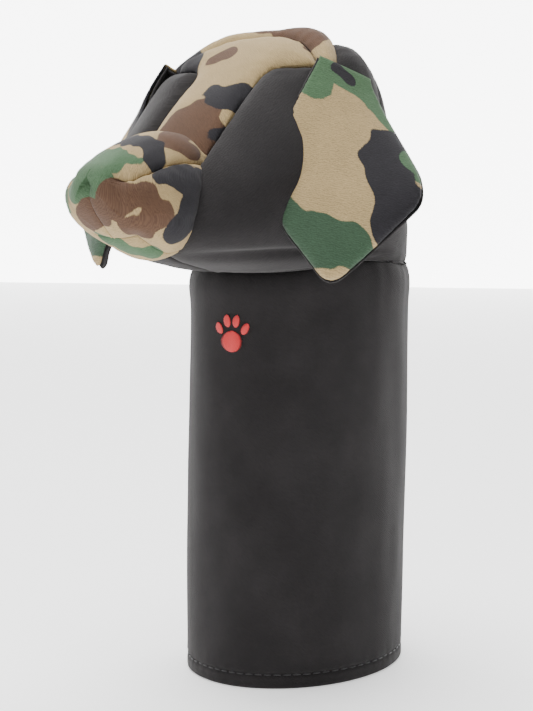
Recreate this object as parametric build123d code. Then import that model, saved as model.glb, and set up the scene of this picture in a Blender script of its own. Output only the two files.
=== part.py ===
from build123d import *
import math
import os

# Golf driver head cover in the shape of a dog: an oval padded sleeve, a stuffed head on top of it, a
# stuffed muzzle, and two ears that hang from seams on the crown.
#
# Frame: millimetres, +Z up, origin at the centre of the sleeve's mouth. The dog looks along -Y and
# its left side is +X. "Ahead" below means towards -Y.

# ---- Driving dimensions ------------------------------------------------------------------------
SLEEVE_LENGTH = 195.0        # mouth to neck seam
SLEEVE_HALF_DEPTH = 61.0     # outside of the oval tube along Y
SLEEVE_HALF_WIDTH = 48.5     # outside of the oval tube along X
TWILL_T = 1.2                # outer cloth of the sleeve
FOAM_T = 2.6                 # foam between the outer cloth and the lining
LINING_T = 1.2
LINING_RISE = 3.0            # foam and lining stop this far above the mouth's edge
HEM_HEIGHT = 7.0             # mouth edge up to the topstitching
FACING_HEIGHT = 28.0         # cloth turned up inside the mouth
FACING_T = 1.0
THREAD_T = 0.7               # topstitching thread
STITCH_COUNT = 72
STITCH_SHARE = 0.72          # share of each stitch's pitch that the thread covers
SEAM_HALF_WIDTH = 4.0        # felled seam down the back of the sleeve
SEAM_T = 0.9
ELASTIC_WIDTH = 16.0         # elastic tape inside the sleeve, below the neck seam
ELASTIC_T = 1.2
ELASTIC_DROP = 6.0

HEAD_CLOTH_T = 1.6
POCKET_LINING_T = 1.2
POCKET_HEIGHT = 74.0         # pocket for the club head, above the neck seam
POCKET_TAPER = 12.0          # how much narrower the pocket is at its top
POCKET_LEAN = 25.0           # how far the pocket's top is ahead of the sleeve's axis
STRIPE_HALF_LOW = 16.0       # forehead stripe where it meets the muzzle
STRIPE_HALF_MID = 20.0
STRIPE_HALF_TOP = 46.0       # forehead stripe where it flares to the ears
STRIPE_FLARE_AHEAD = 38.0    # where the flare starts
CROWN_SEAM_AHEAD = 18.0      # ear-to-ear seam between the stripe and the crown panel
CROWN_BACK_AHEAD = 2.0       # seam between the crown panel and the back panel
SIDE_SEAM_AHEAD = 10.0       # seam between side and back panels, below the ears
STRIPE_BOTTOM = 56.0         # lowest point of the stripe above the neck seam
CROWN_BOTTOM = 88.0

MUZZLE_REACH = 77.0          # tip of the nose, ahead of the front of the sleeve
MUZZLE_LENGTH = 62.0         # from the root of its form, inside the face, to the tip
MUZZLE_MID = 34.5            # middle of the muzzle above the neck seam
MUZZLE_HALF_HEIGHT = 27.5
MUZZLE_HALF_WIDTH = 32.0
TOP_PANEL_HALF_ROOT = 16.0   # top panel of the muzzle tapers towards the nose
TOP_PANEL_HALF_TIP = 7.0
TOP_PANEL_END = 12.0         # and stops this far behind the tip
CHIN_HALF_WIDTH = 13.0

EAR_CLOTH_T = 1.3
EAR_PAD_T = 3.2
EAR_GAP = 1.6                # room between an ear and the head
EAR_STANDOFF = 5.0           # the ear's hinge line stands this far off the head's surface
EAR_ROOT_FRONT = (97.0, 43.0)          # height on the head form, and turn ahead from straight out
EAR_ROOT_BACK = (86.0, 0.0)
EAR_RUN = (26.5, 20.0, -91.5)          # root to tip: ahead, outward, up
EAR_BOW = 9.0                # how far the ear bows outward between root and tip
EAR_HALF_WIDTH = 32.0        # at the widest place
EAR_TURN_DEG = 21.0          # the ear turns to face forward below its root

EMBLEM_TURN_DEG = 11.0       # place of the paw emblem round the sleeve, from the front
EMBLEM_DROP = 30.0           # below the neck seam
EMBLEM_T = 0.8
SOLE_HALF_WIDTH, SOLE_HALF_HEIGHT = 5.6, 4.8
TOE_HALF_WIDTH, TOE_HALF_HEIGHT = 1.9, 2.7

# Head form, one row for each height above the neck seam: how much further the head reaches than the
# sleeve does, to the front, to the back and to each side, and squareness of the outline, where 2 is
# an ellipse. The first row is the sleeve's own oval.
HEAD_FORM = [
    (0.0, 0.0, 0.0, 0.0, 2.0),
    (7.0, 29.0, -0.5, 3.0, 2.2),
    (22.0, 45.0, -6.0, 7.0, 2.05),
    (44.0, 39.0, -21.0, 11.0, 2.05),
    (66.0, 21.0, -37.0, 12.5, 2.15),
    (86.0, 2.0, -50.0, 11.5, 2.3),
    (97.0, -8.0, -61.0, 7.5, 2.4),
    (106.0, -15.0, -71.0, -1.0, 2.3),
    (112.0, -22.0, -80.0, -12.0, 2.2),
    (114.5, -29.0, -86.0, -28.0, 2.0),
]
# Muzzle form, one row for each place from root to tip: share of the length, shares of the half width
# and half height, rise of the middle, and squareness.
MUZZLE_FORM = [
    (0.0, 0.92, 0.95, 0.0, 2.3),
    (0.35, 1.00, 1.00, 0.0, 2.4),
    (0.56, 1.00, 0.91, 1.0, 2.5),
    (0.76, 0.92, 0.75, 3.0, 2.5),
    (0.92, 0.76, 0.54, 5.0, 2.4),
    (1.0, 0.50, 0.30, 6.0, 2.2),
]
# Ear form: share of the length from the root, share of the greatest half width, share of the
# wadding's full thickness.
EAR_FORM = [(0.0, 0.47, 0.1), (0.15, 0.62, 0.6), (0.35, 0.84, 1.0), (0.52, 0.98, 1.0),
            (0.66, 1.0, 1.0), (0.8, 0.80, 0.9), (0.92, 0.46, 0.6), (1.0, 0.16, 0.2)]
OUTLINE_POINTS = 28
BIG = 400.0                  # larger than the whole object, for cutting blocks
OVERRUN = 2.0                # cutting blocks run past what they cut by this much

NECK_Z = SLEEVE_LENGTH
HEAD_TOP = HEAD_FORM[-1][0]
MUZZLE_TIP_AHEAD = SLEEVE_HALF_DEPTH + MUZZLE_REACH


# ---- Shared shapes -----------------------------------------------------------------------------
def oval_tube(outer_inset, inner_inset, bottom, top):
    """Tube that follows the sleeve's oval between two depths below its outer face."""
    outer = Ellipse(SLEEVE_HALF_WIDTH - outer_inset, SLEEVE_HALF_DEPTH - outer_inset)
    inner = Ellipse(SLEEVE_HALF_WIDTH - inner_inset, SLEEVE_HALF_DEPTH - inner_inset)
    return Pos(0, 0, bottom) * extrude(outer - inner, top - bottom)


def superellipse(half_u, half_v, squareness):
    """Points of a closed outline in its own plane."""
    points = []
    for i in range(OUTLINE_POINTS):
        angle = 2 * math.pi * i / OUTLINE_POINTS
        c, s = math.cos(angle), math.sin(angle)
        u = math.copysign(abs(c) ** (2 / squareness), c) * half_u
        v = math.copysign(abs(s) ** (2 / squareness), s) * half_v
        points.append((u, v))
    return points


def closed_face(points):
    return Face(Wire([Spline(*points, periodic=True)]))


def head_form(inset):
    """Solid inside the head's outer surface, a given depth below it."""
    faces = []
    for row in HEAD_FORM:
        middle, half_width, half_depth = head_outline(row)
        z = NECK_Z + row[0] * (HEAD_TOP - inset) / HEAD_TOP
        outline = superellipse(half_width - inset, half_depth - inset, row[-1])
        faces.append(closed_face([(u, v - middle, z) for u, v in outline]))
    return loft(faces)


def head_outline(row):
    """How far the middle of a row is ahead of the sleeve's axis, its half width and half depth."""
    height, ahead, behind, outward, squareness = row
    return (ahead - behind) / 2, SLEEVE_HALF_WIDTH + outward, SLEEVE_HALF_DEPTH + (ahead + behind) / 2


def on_head(place):
    """Point on the left of the head's surface, for a height that is a row of the head form."""
    height, turn = place
    row = next(row for row in HEAD_FORM if row[0] == height)
    middle, half_width, half_depth = head_outline(row)
    angle = math.radians(turn)
    x = half_width * math.cos(angle) ** (2 / row[-1])
    ahead = middle + half_depth * math.sin(angle) ** (2 / row[-1])
    return Vector(x, -ahead, NECK_Z + height)


def muzzle_form(inset):
    """Solid inside the muzzle's outer surface, from inside the face to the nose."""
    faces = []
    for share, wide, high, rise, squareness in MUZZLE_FORM:
        y = -(MUZZLE_TIP_AHEAD - MUZZLE_LENGTH + share * (MUZZLE_LENGTH - inset))
        z = NECK_Z + MUZZLE_MID + rise
        outline = superellipse(MUZZLE_HALF_WIDTH * wide - inset, MUZZLE_HALF_HEIGHT * high - inset,
                               squareness)
        faces.append(closed_face([(u, y, z + v) for u, v in outline]))
    return loft(faces)


def prism_from_above(points, bottom, top):
    """Upright block with the given outline; points are (to the left, ahead)."""
    outline = Polyline(*[(x, -ahead) for x, ahead in points], close=True)
    return Pos(0, 0, bottom) * extrude(make_face(outline), top - bottom)


def half_space_ahead(ahead):
    return Pos(0, -ahead - BIG / 2, NECK_Z) * Box(BIG, BIG, BIG)


def half_space_side(sign):
    return Pos(sign * BIG / 2, 0, NECK_Z) * Box(BIG, BIG, BIG)


# ---- Sleeve ------------------------------------------------------------------------------------
def sleeve_nodes():
    foam_in = TWILL_T + FOAM_T
    lining_in = foam_in + LINING_T
    facing_in = lining_in + FACING_T
    elastic_top = NECK_Z - ELASTIC_DROP
    nodes = {}
    nodes["sleeve_cloth"] = oval_tube(0, TWILL_T, 0, NECK_Z)
    nodes["sleeve_foam"] = oval_tube(TWILL_T, foam_in, LINING_RISE, NECK_Z)
    nodes["sleeve_lining"] = oval_tube(foam_in, lining_in, LINING_RISE, NECK_Z)
    turn_up = oval_tube(TWILL_T, facing_in, 0, LINING_RISE)
    facing = oval_tube(lining_in, facing_in, LINING_RISE, FACING_HEIGHT)
    nodes["hem_facing"] = turn_up + facing
    nodes["neck_elastic"] = oval_tube(lining_in, lining_in + ELASTIC_T, elastic_top - ELASTIC_WIDTH,
                                      elastic_top)
    strip = Pos(0, SLEEVE_HALF_DEPTH, NECK_Z / 2)
    strip *= Box(2 * SEAM_HALF_WIDTH, 2 * (SEAM_T + OVERRUN), BIG)
    seam_bottom = HEM_HEIGHT + 2 * THREAD_T
    nodes["sleeve_back_seam"] = oval_tube(-SEAM_T, 0, seam_bottom, NECK_Z) & strip
    nodes["hem_topstitching"] = topstitching()
    return nodes


def topstitching():
    """Separate stitches round the mouth, lying on the cloth."""
    ring = oval_tube(-THREAD_T, 0, HEM_HEIGHT - THREAD_T / 2, HEM_HEIGHT + THREAD_T / 2)
    half_turn = math.pi * STITCH_SHARE / STITCH_COUNT
    wedges = []
    for i in range(STITCH_COUNT):
        turn = 2 * math.pi * i / STITCH_COUNT
        corners = [(0, 0)]
        for side in (-half_turn, half_turn):
            corners.append((BIG * math.sin(turn + side), BIG * math.cos(turn + side)))
        wedges.append(prism_from_above(corners, 0, 2 * HEM_HEIGHT))
    return Compound([piece for wedge in wedges for piece in (ring & wedge).solids()])


def emblem():
    """Paw with a sole pad and four toes, lying on the front of the sleeve."""
    turn = math.radians(EMBLEM_TURN_DEG)
    spot = (SLEEVE_HALF_WIDTH * math.sin(turn), -SLEEVE_HALF_DEPTH * math.cos(turn))
    normal = Vector(math.sin(turn) / SLEEVE_HALF_WIDTH, -math.cos(turn) / SLEEVE_HALF_DEPTH, 0)
    normal = normal.normalized()
    across = Vector(0, 0, 1).cross(normal)
    plane = Plane(origin=(*spot, NECK_Z - EMBLEM_DROP), x_dir=across, z_dir=normal)
    toes = []
    for angle in (-58, -20, 20, 58):
        reach = SOLE_HALF_HEIGHT + TOE_HALF_HEIGHT + TOE_HALF_WIDTH / 2
        place = Pos(reach * math.sin(math.radians(angle)), reach * math.cos(math.radians(angle)))
        toes.append(place * Rot(0, 0, -angle / 2) * Ellipse(TOE_HALF_WIDTH, TOE_HALF_HEIGHT))
    sole = Pos(0, -TOE_HALF_WIDTH) * Ellipse(SOLE_HALF_WIDTH, SOLE_HALF_HEIGHT)
    solids = []
    skin = oval_tube(-EMBLEM_T, 0, NECK_Z - 2 * EMBLEM_DROP, NECK_Z)
    for pad in [sole] + toes:
        block = plane * extrude(pad, OVERRUN, both=True)
        solids.extend((skin & block).solids())
    return Compound(solids)


# ---- Head --------------------------------------------------------------------------------------
def head_nodes():
    outside = head_form(0)
    inside = head_form(HEAD_CLOTH_T)
    shell = outside - inside
    stripe_block = prism_from_above(
        [(STRIPE_HALF_TOP, CROWN_SEAM_AHEAD), (STRIPE_HALF_MID, STRIPE_FLARE_AHEAD),
         (STRIPE_HALF_LOW, BIG), (-STRIPE_HALF_LOW, BIG), (-STRIPE_HALF_MID, STRIPE_FLARE_AHEAD),
         (-STRIPE_HALF_TOP, CROWN_SEAM_AHEAD)],
        NECK_Z + STRIPE_BOTTOM, NECK_Z + BIG)
    crown_block = prism_from_above(
        [(STRIPE_HALF_TOP, CROWN_SEAM_AHEAD), (STRIPE_HALF_TOP, CROWN_BACK_AHEAD),
         (-STRIPE_HALF_TOP, CROWN_BACK_AHEAD), (-STRIPE_HALF_TOP, CROWN_SEAM_AHEAD)],
        NECK_Z + CROWN_BOTTOM, NECK_Z + BIG)
    rest = shell - stripe_block - crown_block
    front = rest & half_space_ahead(SIDE_SEAM_AHEAD)
    nodes = {}
    nodes["forehead_stripe"] = shell & stripe_block
    nodes["crown_panel"] = shell & crown_block
    nodes["side_panel_left"] = front & half_space_side(1)
    nodes["side_panel_right"] = front & half_space_side(-1)
    nodes["back_panel"] = rest - half_space_ahead(SIDE_SEAM_AHEAD)
    pocket_outer = club_pocket(0)
    pocket_inner = club_pocket(POCKET_LINING_T)
    nodes["head_stuffing"] = inside - pocket_outer
    nodes["head_lining"] = pocket_outer - pocket_inner
    return nodes, outside


def club_pocket(inset):
    """Hollow for the club head: the sleeve's bore, carried up into the head and rounded off."""
    wall = TWILL_T + FOAM_T + inset
    half_width = SLEEVE_HALF_WIDTH - wall
    half_depth = SLEEVE_HALF_DEPTH - wall
    base = Pos(0, 0, NECK_Z) * Ellipse(half_width, half_depth)
    top = Pos(0, -POCKET_LEAN, NECK_Z + POCKET_HEIGHT - inset)
    top *= Ellipse(half_width - POCKET_TAPER, half_depth - 2 * POCKET_TAPER)
    solid = loft([base.face(), top.face()])
    rim = solid.edges().sort_by(Axis.Z)[-1]
    return fillet(rim, POCKET_TAPER)


def muzzle_nodes(head_outside):
    shell = muzzle_form(0) - muzzle_form(HEAD_CLOTH_T) - head_outside
    root = MUZZLE_TIP_AHEAD - MUZZLE_LENGTH
    top_end = MUZZLE_TIP_AHEAD - TOP_PANEL_END
    top_block = prism_from_above(
        [(TOP_PANEL_HALF_ROOT, root), (TOP_PANEL_HALF_TIP, top_end),
         (-TOP_PANEL_HALF_TIP, top_end), (-TOP_PANEL_HALF_ROOT, root)],
        NECK_Z + MUZZLE_MID, NECK_Z + BIG)
    chin_block = prism_from_above(
        [(CHIN_HALF_WIDTH, root), (CHIN_HALF_WIDTH, top_end), (-CHIN_HALF_WIDTH, top_end),
         (-CHIN_HALF_WIDTH, root)],
        0, NECK_Z + MUZZLE_MID)
    jowls = shell - top_block - chin_block
    nodes = {}
    nodes["muzzle_top"] = shell & top_block
    nodes["muzzle_chin"] = shell & chin_block
    nodes["jowl_left"] = jowls & half_space_side(1)
    nodes["jowl_right"] = jowls & half_space_side(-1)
    nodes["muzzle_stuffing"] = muzzle_form(HEAD_CLOTH_T) - head_outside
    return nodes


# ---- Ears --------------------------------------------------------------------------------------
def ear_hinge_line():
    """Front and back ends of the left ear's root, standing off the head."""
    front, back = on_head(EAR_ROOT_FRONT), on_head(EAR_ROOT_BACK)
    outward = ear_run().cross(back - front).normalized()
    return front + outward * EAR_STANDOFF, back + outward * EAR_STANDOFF


def ear_run():
    """Root to tip of the left ear."""
    ahead, aside, up = EAR_RUN
    return Vector(aside, -ahead, up)


def ear_frames():
    """Middle, direction across, outward normal, half width and wadding at each station."""
    front, back = ear_hinge_line()
    root = (front + back) * 0.5
    across = (back - front).normalized()
    run = ear_run()
    outward = run.cross(across).normalized()
    stations = []
    for share, wide, stuffed in EAR_FORM:
        turn = EAR_TURN_DEG * math.sin(min(share / 0.5, 1) * math.pi / 2)
        middle = root + run * share + outward * (4 * EAR_BOW * share * (1 - share))
        flat = across.rotate(Axis((0, 0, 0), tuple(run)), turn)
        normal = run.cross(flat).normalized()
        stations.append((middle, flat, normal, EAR_HALF_WIDTH * wide, EAR_PAD_T * stuffed))
    return stations


def ear_layer(layer):
    """The left ear's inner cloth, wadding or outer cloth, centred on the ear's middle surface."""
    faces = []
    for middle, across, normal, half_width, pad in ear_frames():
        levels = (-pad / 2 - EAR_CLOTH_T, -pad / 2, pad / 2, pad / 2 + EAR_CLOTH_T)
        low, high = levels[layer], levels[layer + 1]
        corners = []
        for side, depth in ((-1, low), (1, low), (1, high), (-1, high)):
            corners.append(middle + across * (side * half_width) + normal * depth)
        faces.append(Face(Wire(Polyline(*corners, close=True).edges())))
    return loft(faces, ruled=True)


def clear_of_head(layer, room):
    """The layer without what would press into the head."""
    return (layer - room).solids().sort_by(SortBy.VOLUME)[-1]


def ear_nodes():
    room = head_form(-EAR_GAP)
    nodes = {}
    for layer, name in enumerate(("inner", "wadding", "outer")):
        left = clear_of_head(ear_layer(layer), room)
        nodes["ear_left_" + name] = left
        nodes["ear_right_" + name] = mirror(left, about=Plane.YZ)
    return nodes


# ---- Write the parts ---------------------------------------------------------------------------
def main():
    os.makedirs("parts", exist_ok=True)
    nodes = sleeve_nodes()
    nodes["paw_emblem"] = emblem()
    head, head_outside = head_nodes()
    nodes.update(head)
    nodes.update(muzzle_nodes(head_outside))
    nodes.update(ear_nodes())
    for name, shape in nodes.items():
        export_step(shape, "parts/" + name + ".step")
    for end in ear_hinge_line():
        print("left ear hinge through", tuple(end))


main()
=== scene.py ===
import math

import bpy
import numpy as np
from mathutils import Matrix, Vector, kdtree, noise


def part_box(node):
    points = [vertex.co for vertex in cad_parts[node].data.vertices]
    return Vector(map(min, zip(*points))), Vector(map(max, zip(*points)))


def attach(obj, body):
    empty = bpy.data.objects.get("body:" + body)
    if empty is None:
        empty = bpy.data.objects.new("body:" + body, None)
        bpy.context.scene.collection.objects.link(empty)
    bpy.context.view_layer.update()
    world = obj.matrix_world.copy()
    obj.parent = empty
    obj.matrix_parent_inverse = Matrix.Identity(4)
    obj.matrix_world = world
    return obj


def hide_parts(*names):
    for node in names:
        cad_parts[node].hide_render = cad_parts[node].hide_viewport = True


# A golf driver head cover shaped like a dog: a padded oval sleeve, a stuffed head and muzzle sewn
# from panels, and two ears. The frame is the CAD model's: +Z up, the dog looks along -Y and its left
# side is +X. "Ahead" means towards -Y. Forms are worked out in millimetres from the neck seam, and
# make_mesh turns them into metres from the floor.

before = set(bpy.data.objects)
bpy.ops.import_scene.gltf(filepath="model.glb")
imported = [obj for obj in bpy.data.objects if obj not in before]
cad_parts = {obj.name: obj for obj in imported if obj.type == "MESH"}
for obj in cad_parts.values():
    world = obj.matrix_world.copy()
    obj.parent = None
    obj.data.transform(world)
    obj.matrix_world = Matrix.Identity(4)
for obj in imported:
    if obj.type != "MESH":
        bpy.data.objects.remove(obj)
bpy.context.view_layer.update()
MM = 0.001


def detail(full, quick):
    """A count or step for a full run; quick, the one for a quick run, is not used."""
    return full


# ---- Places taken from the frame -----------------------------------------------------------------
_, sleeve_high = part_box("sleeve_cloth")
NECK_Z = sleeve_high.z
lining_low, lining_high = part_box("sleeve_lining")
_, pocket_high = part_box("head_lining")
_, facing_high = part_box("hem_facing")
elastic_low, elastic_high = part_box("neck_elastic")
stitch_low, stitch_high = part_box("hem_topstitching")
nose_low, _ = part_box("muzzle_stuffing")
NOSE_CLOTH = 3.4                 # seamed cloth over the stuffing at the nose
MUZZLE_TIP = -nose_low.y + NOSE_CLOTH * MM
paw_low, paw_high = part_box("paw_emblem")

# ---- Head and muzzle forms, in millimetres from the neck seam and the sleeve's axis --------------
# height, reach ahead, reach behind, half width, squareness (2 is an ellipse)
HEAD_ROWS = [
    (0.0, 60.0, 60.0, 47.5, 2.0),
    (3.0, 74.0, 60.0, 48.0, 2.0),
    (9.0, 93.0, 58.0, 49.5, 2.05),
    (22.0, 104.0, 52.5, 53.0, 2.05),
    (44.0, 98.5, 38.0, 58.0, 2.05),
    (66.0, 81.0, 22.0, 59.5, 2.1),
    (86.0, 62.0, 9.0, 57.0, 2.15),
    (97.0, 52.0, -1.0, 52.0, 2.15),
    (105.0, 42.5, -8.0, 42.0, 2.1),
    (110.5, 35.0, -13.0, 30.0, 2.05),
    (112.8, 29.0, -18.0, 17.0, 2.0),
    (113.3, 23.5, -23.5, 0.0, 2.0),
]
# share of the length from root to nose, half width, half height, rise of the middle, squareness
MUZZLE_LENGTH = 62.0
MUZZLE_MIDDLE = 34.5
MUZZLE_ROWS = [
    (0.0, 25.5, 24.0, 0.0, 2.25),
    (0.35, 28.0, 25.8, 0.0, 2.2),
    (0.5, 28.6, 24.4, -0.5, 2.15),
    (0.655, 28.0, 20.2, -0.3, 2.15),
    (0.77, 26.0, 16.0, 0.3, 2.2),
    (0.865, 21.5, 11.6, 1.6, 2.15),
    (0.94, 15.5, 7.6, 3.2, 2.1),
    (0.985, 8.5, 3.9, 4.2, 2.0),
    (1.0, 0.0, 0.0, 4.6, 2.0),
]


def spline(rows, steps):
    """Smooth curve through the rows, as an array with the given number of steps per span."""
    rows = np.array(rows, float)
    padded = np.vstack([2 * rows[0] - rows[1], rows, 2 * rows[-1] - rows[-2]])
    out = []
    for i in range(len(rows) - 1):
        a, b, c, d = padded[i:i + 4]
        for k in range(steps):
            t = k / steps
            out.append(0.5 * (2 * b + (c - a) * t + (2 * a - 5 * b + 4 * c - d) * t * t
                              + (3 * b - a - 3 * c + d) * t ** 3))
    out.append(rows[-1])
    return np.array(out)


def power(value, exponent):
    return np.sign(value) * np.abs(value) ** exponent


HEAD_CURVE = spline(HEAD_ROWS, 12)
MUZZLE_CURVE = spline(MUZZLE_ROWS, 12)


def smooth_step(x, low, high):
    t = np.clip((x - low) / (high - low), 0, 1)
    return t * t * (3 - 2 * t)


def outline_value(u, v, half_u, half_v, squareness):
    """Below 0 inside a rounded outline, above 0 outside, about linear near it."""
    half_u, half_v = np.maximum(half_u, 1e-3), np.maximum(half_v, 1e-3)
    value = (np.abs(u / half_u) ** squareness + np.abs(v / half_v) ** squareness) ** (1 / squareness)
    return (value - 1) * np.minimum(half_u, half_v)


def front_squareness(height, squareness):
    """The front of the face is squarer than the back, round the root of the muzzle."""
    return squareness + 1.3 * np.exp(-((height - 32.0) / 26.0) ** 2)


def head_value(points):
    """Millimetres outside (above 0) or inside (below 0) the head form; points in millimetres."""
    height, ahead, behind, half_width, squareness = [
        np.interp(points[:, 2], HEAD_CURVE[:, 0], HEAD_CURVE[:, k]) for k in range(5)]
    from_middle = -points[:, 1] - (ahead - behind) / 2
    squareness = np.where(from_middle > 0, front_squareness(height, squareness), squareness)
    value = outline_value(points[:, 0], from_middle, half_width, (ahead + behind) / 2, squareness)
    return np.maximum(value, points[:, 2] - HEAD_ROWS[-1][0])


def muzzle_share(points):
    tip = MUZZLE_TIP / MM
    return (-points[:, 1] - tip) / MUZZLE_LENGTH + 1


def muzzle_value(points):
    share = muzzle_share(points)
    half_width, half_height, rise, squareness = [
        np.interp(share, MUZZLE_CURVE[:, 0], MUZZLE_CURVE[:, k]) for k in range(1, 5)]
    value = outline_value(points[:, 0], points[:, 2] - MUZZLE_MIDDLE - rise, half_width, half_height,
                          squareness)
    return np.where(share < 0, 50.0, value)


# ---- Mesh tools -----------------------------------------------------------------------------------
def grid_triangles(rows, columns, closed):
    """Triangles of a grid of rows by columns vertices; closed joins the last column to the first."""
    triangles = []
    last = columns if closed else columns - 1
    for r in range(rows - 1):
        for c in range(last):
            a, b = r * columns + c, r * columns + (c + 1) % columns
            d, e = a + columns, b + columns
            triangles += [(a, b, e), (a, e, d)]
    return triangles


class Skin:
    """A triangle surface in millimetres from the neck seam, with extra values on each vertex."""

    def __init__(self, points, triangles, **values):
        self.points = np.array(points, float)
        self.triangles = np.array(triangles, int)
        self.values = {name: np.array(value, float) for name, value in values.items()}
        self.seam = np.zeros(len(self.points))

    def cut(self, field, keep=None, only=None, strength=None):
        """Splits triangles where field changes sign, and marks the cut as a seam of some strength.
        keep drops the side where field is above 0. only limits the cut to where that field is
        below 0. strength gives how deep the seam pulls at each point, and 1 is usual."""
        value = field(self.points)
        limit = only(self.points) if only else np.full(len(value), -1.0)
        edges = self.neighbours()
        a, b = edges[:, 0], edges[:, 1]
        crossing = (value[a] * value[b] < 0) & ((limit[a] < 0) | (limit[b] < 0))
        a, b = a[crossing], b[crossing]
        share = value[a] / (value[a] - value[b])
        for i, j, t in zip(a, b, share):          # near ones move onto the cut
            near, far, step = (i, j, t) if t < 0.5 else (j, i, 1 - t)
            if step < 0.28 and value[near] != 0:
                self.points[near] += (self.points[far] - self.points[near]) * step
                for stored in self.values.values():
                    stored[near] += (stored[far] - stored[near]) * step
                value[near] = 0.0
        new, start = {}, len(self.points)
        for i, j in zip(a, b):
            if value[i] * value[j] < 0:
                new[(i, j)] = len(self.points) + len(new)
        if new:
            pairs = np.array(list(new))
            i, j = pairs[:, 0], pairs[:, 1]
            t = value[i] / (value[i] - value[j])
            mix = lambda s: s[i] + (s[j] - s[i]) * (t[:, None] if s.ndim == 2 else t)
            self.points = np.vstack([self.points, mix(self.points)])
            for name, stored in self.values.items():
                self.values[name] = np.concatenate([stored, mix(stored)])
            self.seam = np.concatenate([self.seam, np.zeros(len(pairs))])
            value = np.concatenate([value, np.zeros(len(pairs))])
        crossed = np.unique(np.concatenate([edges[crossing].ravel(), np.arange(start, len(value))]))
        crossed = crossed[value[crossed] == 0]
        pull = strength(self.points[crossed]) if strength else np.ones(len(crossed))
        self.seam[crossed] = np.maximum(self.seam[crossed], pull)
        triangles = []
        for triangle in self.triangles:
            x, y, z = triangle
            mid = [new.get((min(p, q), max(p, q))) for p, q in ((x, y), (y, z), (z, x))]
            cuts = sum(m is not None for m in mid)
            if cuts == 0:
                triangles.append((x, y, z))
            elif cuts == 1:
                k = next(k for k in range(3) if mid[k] is not None)
                p, q, r = triangle[k], triangle[(k + 1) % 3], triangle[(k + 2) % 3]
                triangles += [(p, mid[k], r), (mid[k], q, r)]
            else:
                k = next(k for k in range(3) if mid[k] is None)
                p, q, r = triangle[k], triangle[(k + 1) % 3], triangle[(k + 2) % 3]
                m, n = mid[(k + 1) % 3], mid[(k + 2) % 3]
                triangles += [(r, n, m), (p, q, m), (p, m, n)]
        self.triangles = np.array(triangles, int)
        if keep == "below":
            centre = value[self.triangles].sum(1)
            self.triangles = self.triangles[centre < 0]
            self.tidy()

    def tidy(self):
        used = np.unique(self.triangles)
        index = np.full(len(self.points), -1)
        index[used] = np.arange(len(used))
        self.points, self.seam = self.points[used], self.seam[used]
        self.values = {name: value[used] for name, value in self.values.items()}
        self.triangles = index[self.triangles]

    def centres(self):
        return self.points[self.triangles].mean(1)

    def normals(self):
        corner = self.points[self.triangles]
        cross = np.cross(corner[:, 1] - corner[:, 0], corner[:, 2] - corner[:, 0])
        out = np.zeros_like(self.points)
        for k in range(3):
            np.add.at(out, self.triangles[:, k], cross)
        return out / np.maximum(np.linalg.norm(out, axis=1), 1e-12)[:, None]

    def seam_pull(self, width):
        """1 at a seam of strength 1, falling to 0 away from it over about width millimetres."""
        sewn = np.flatnonzero(self.seam > 0.02)
        distance, nearest = nearest_of(self.points, self.points[sewn])
        return np.exp(-distance / width) * self.seam[sewn][nearest], distance

    def neighbours(self):
        """The pairs of vertices that an edge joins."""
        pairs = np.vstack([self.triangles[:, [0, 1]], self.triangles[:, [1, 2]],
                           self.triangles[:, [2, 0]]])
        return np.unique(np.sort(pairs, axis=1), axis=0)

    def relax(self, times, held):
        """Evens out the vertices that aren't held."""
        pairs = self.neighbours()
        for _ in range(times):
            total = np.zeros_like(self.points)
            count = np.zeros(len(self.points))
            for i, j in ((0, 1), (1, 0)):
                np.add.at(total, pairs[:, i], self.points[pairs[:, j]])
                np.add.at(count, pairs[:, i], 1)
            mean = total / np.maximum(count, 1)[:, None]
            self.points = np.where(held[:, None], self.points, (self.points + mean) / 2)


def nearest_of(points, targets):
    """Distance from each point to the nearest target, and which target that is."""
    tree = kdtree.KDTree(len(targets))
    for i, target in enumerate(targets):
        tree.insert(target, i)
    tree.balance()
    found = [tree.find(point) for point in points]
    return np.array([f[2] for f in found]), np.array([f[1] for f in found])


def noise_at(points, scale, seed):
    """Smooth noise from -1 to 1 with features about scale millimetres across."""
    shift = Vector((seed * 17.3, seed * 5.1, seed * 9.7))
    return np.array([noise.noise(Vector(point) / scale + shift) for point in points])


def show(name, data):
    """A new object with this data, in the scene."""
    obj = bpy.data.objects.new(name, data)
    bpy.context.scene.collection.objects.link(obj)
    return obj


def make_mesh(name, points, faces, values=None):
    """Object from points in millimetres above the neck seam."""
    mesh = bpy.data.meshes.new(name)
    points = np.array(points, float) * MM + np.array([0, 0, NECK_Z])
    mesh.from_pydata(points.tolist(), [], [tuple(int(i) for i in face) for face in faces])
    mesh.validate()
    for value_name, value in (values or {}).items():
        value = np.array(value, float)
        kind = "FLOAT_VECTOR" if value.ndim == 2 else "FLOAT"
        attribute = mesh.attributes.new(value_name, kind, "POINT")
        if value.ndim == 2:
            attribute.data.foreach_set("vector", value.astype(np.float32).ravel())
        else:
            attribute.data.foreach_set("value", value.astype(np.float32))
    mesh.shade_smooth()
    return show(name, mesh)


def panel(name, skin, faces_wanted, thickness, material):
    """One sewn panel: the chosen triangles as cloth with its thickness inward."""
    part = Skin(skin.points, skin.triangles[faces_wanted], **skin.values)
    part.tidy()
    obj = make_mesh(name, part.points, part.triangles, part.values)
    obj.data.materials.append(material)
    thicken(obj, thickness)
    return obj


def hand_over(obj, nodes, slot_name, body):
    """Hides the nodes that a finished piece replaces and hangs it on the body it rides on.
    slot_name, its material's slot, is not used."""
    if nodes:
        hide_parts(*nodes)
    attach(obj, body)


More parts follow.
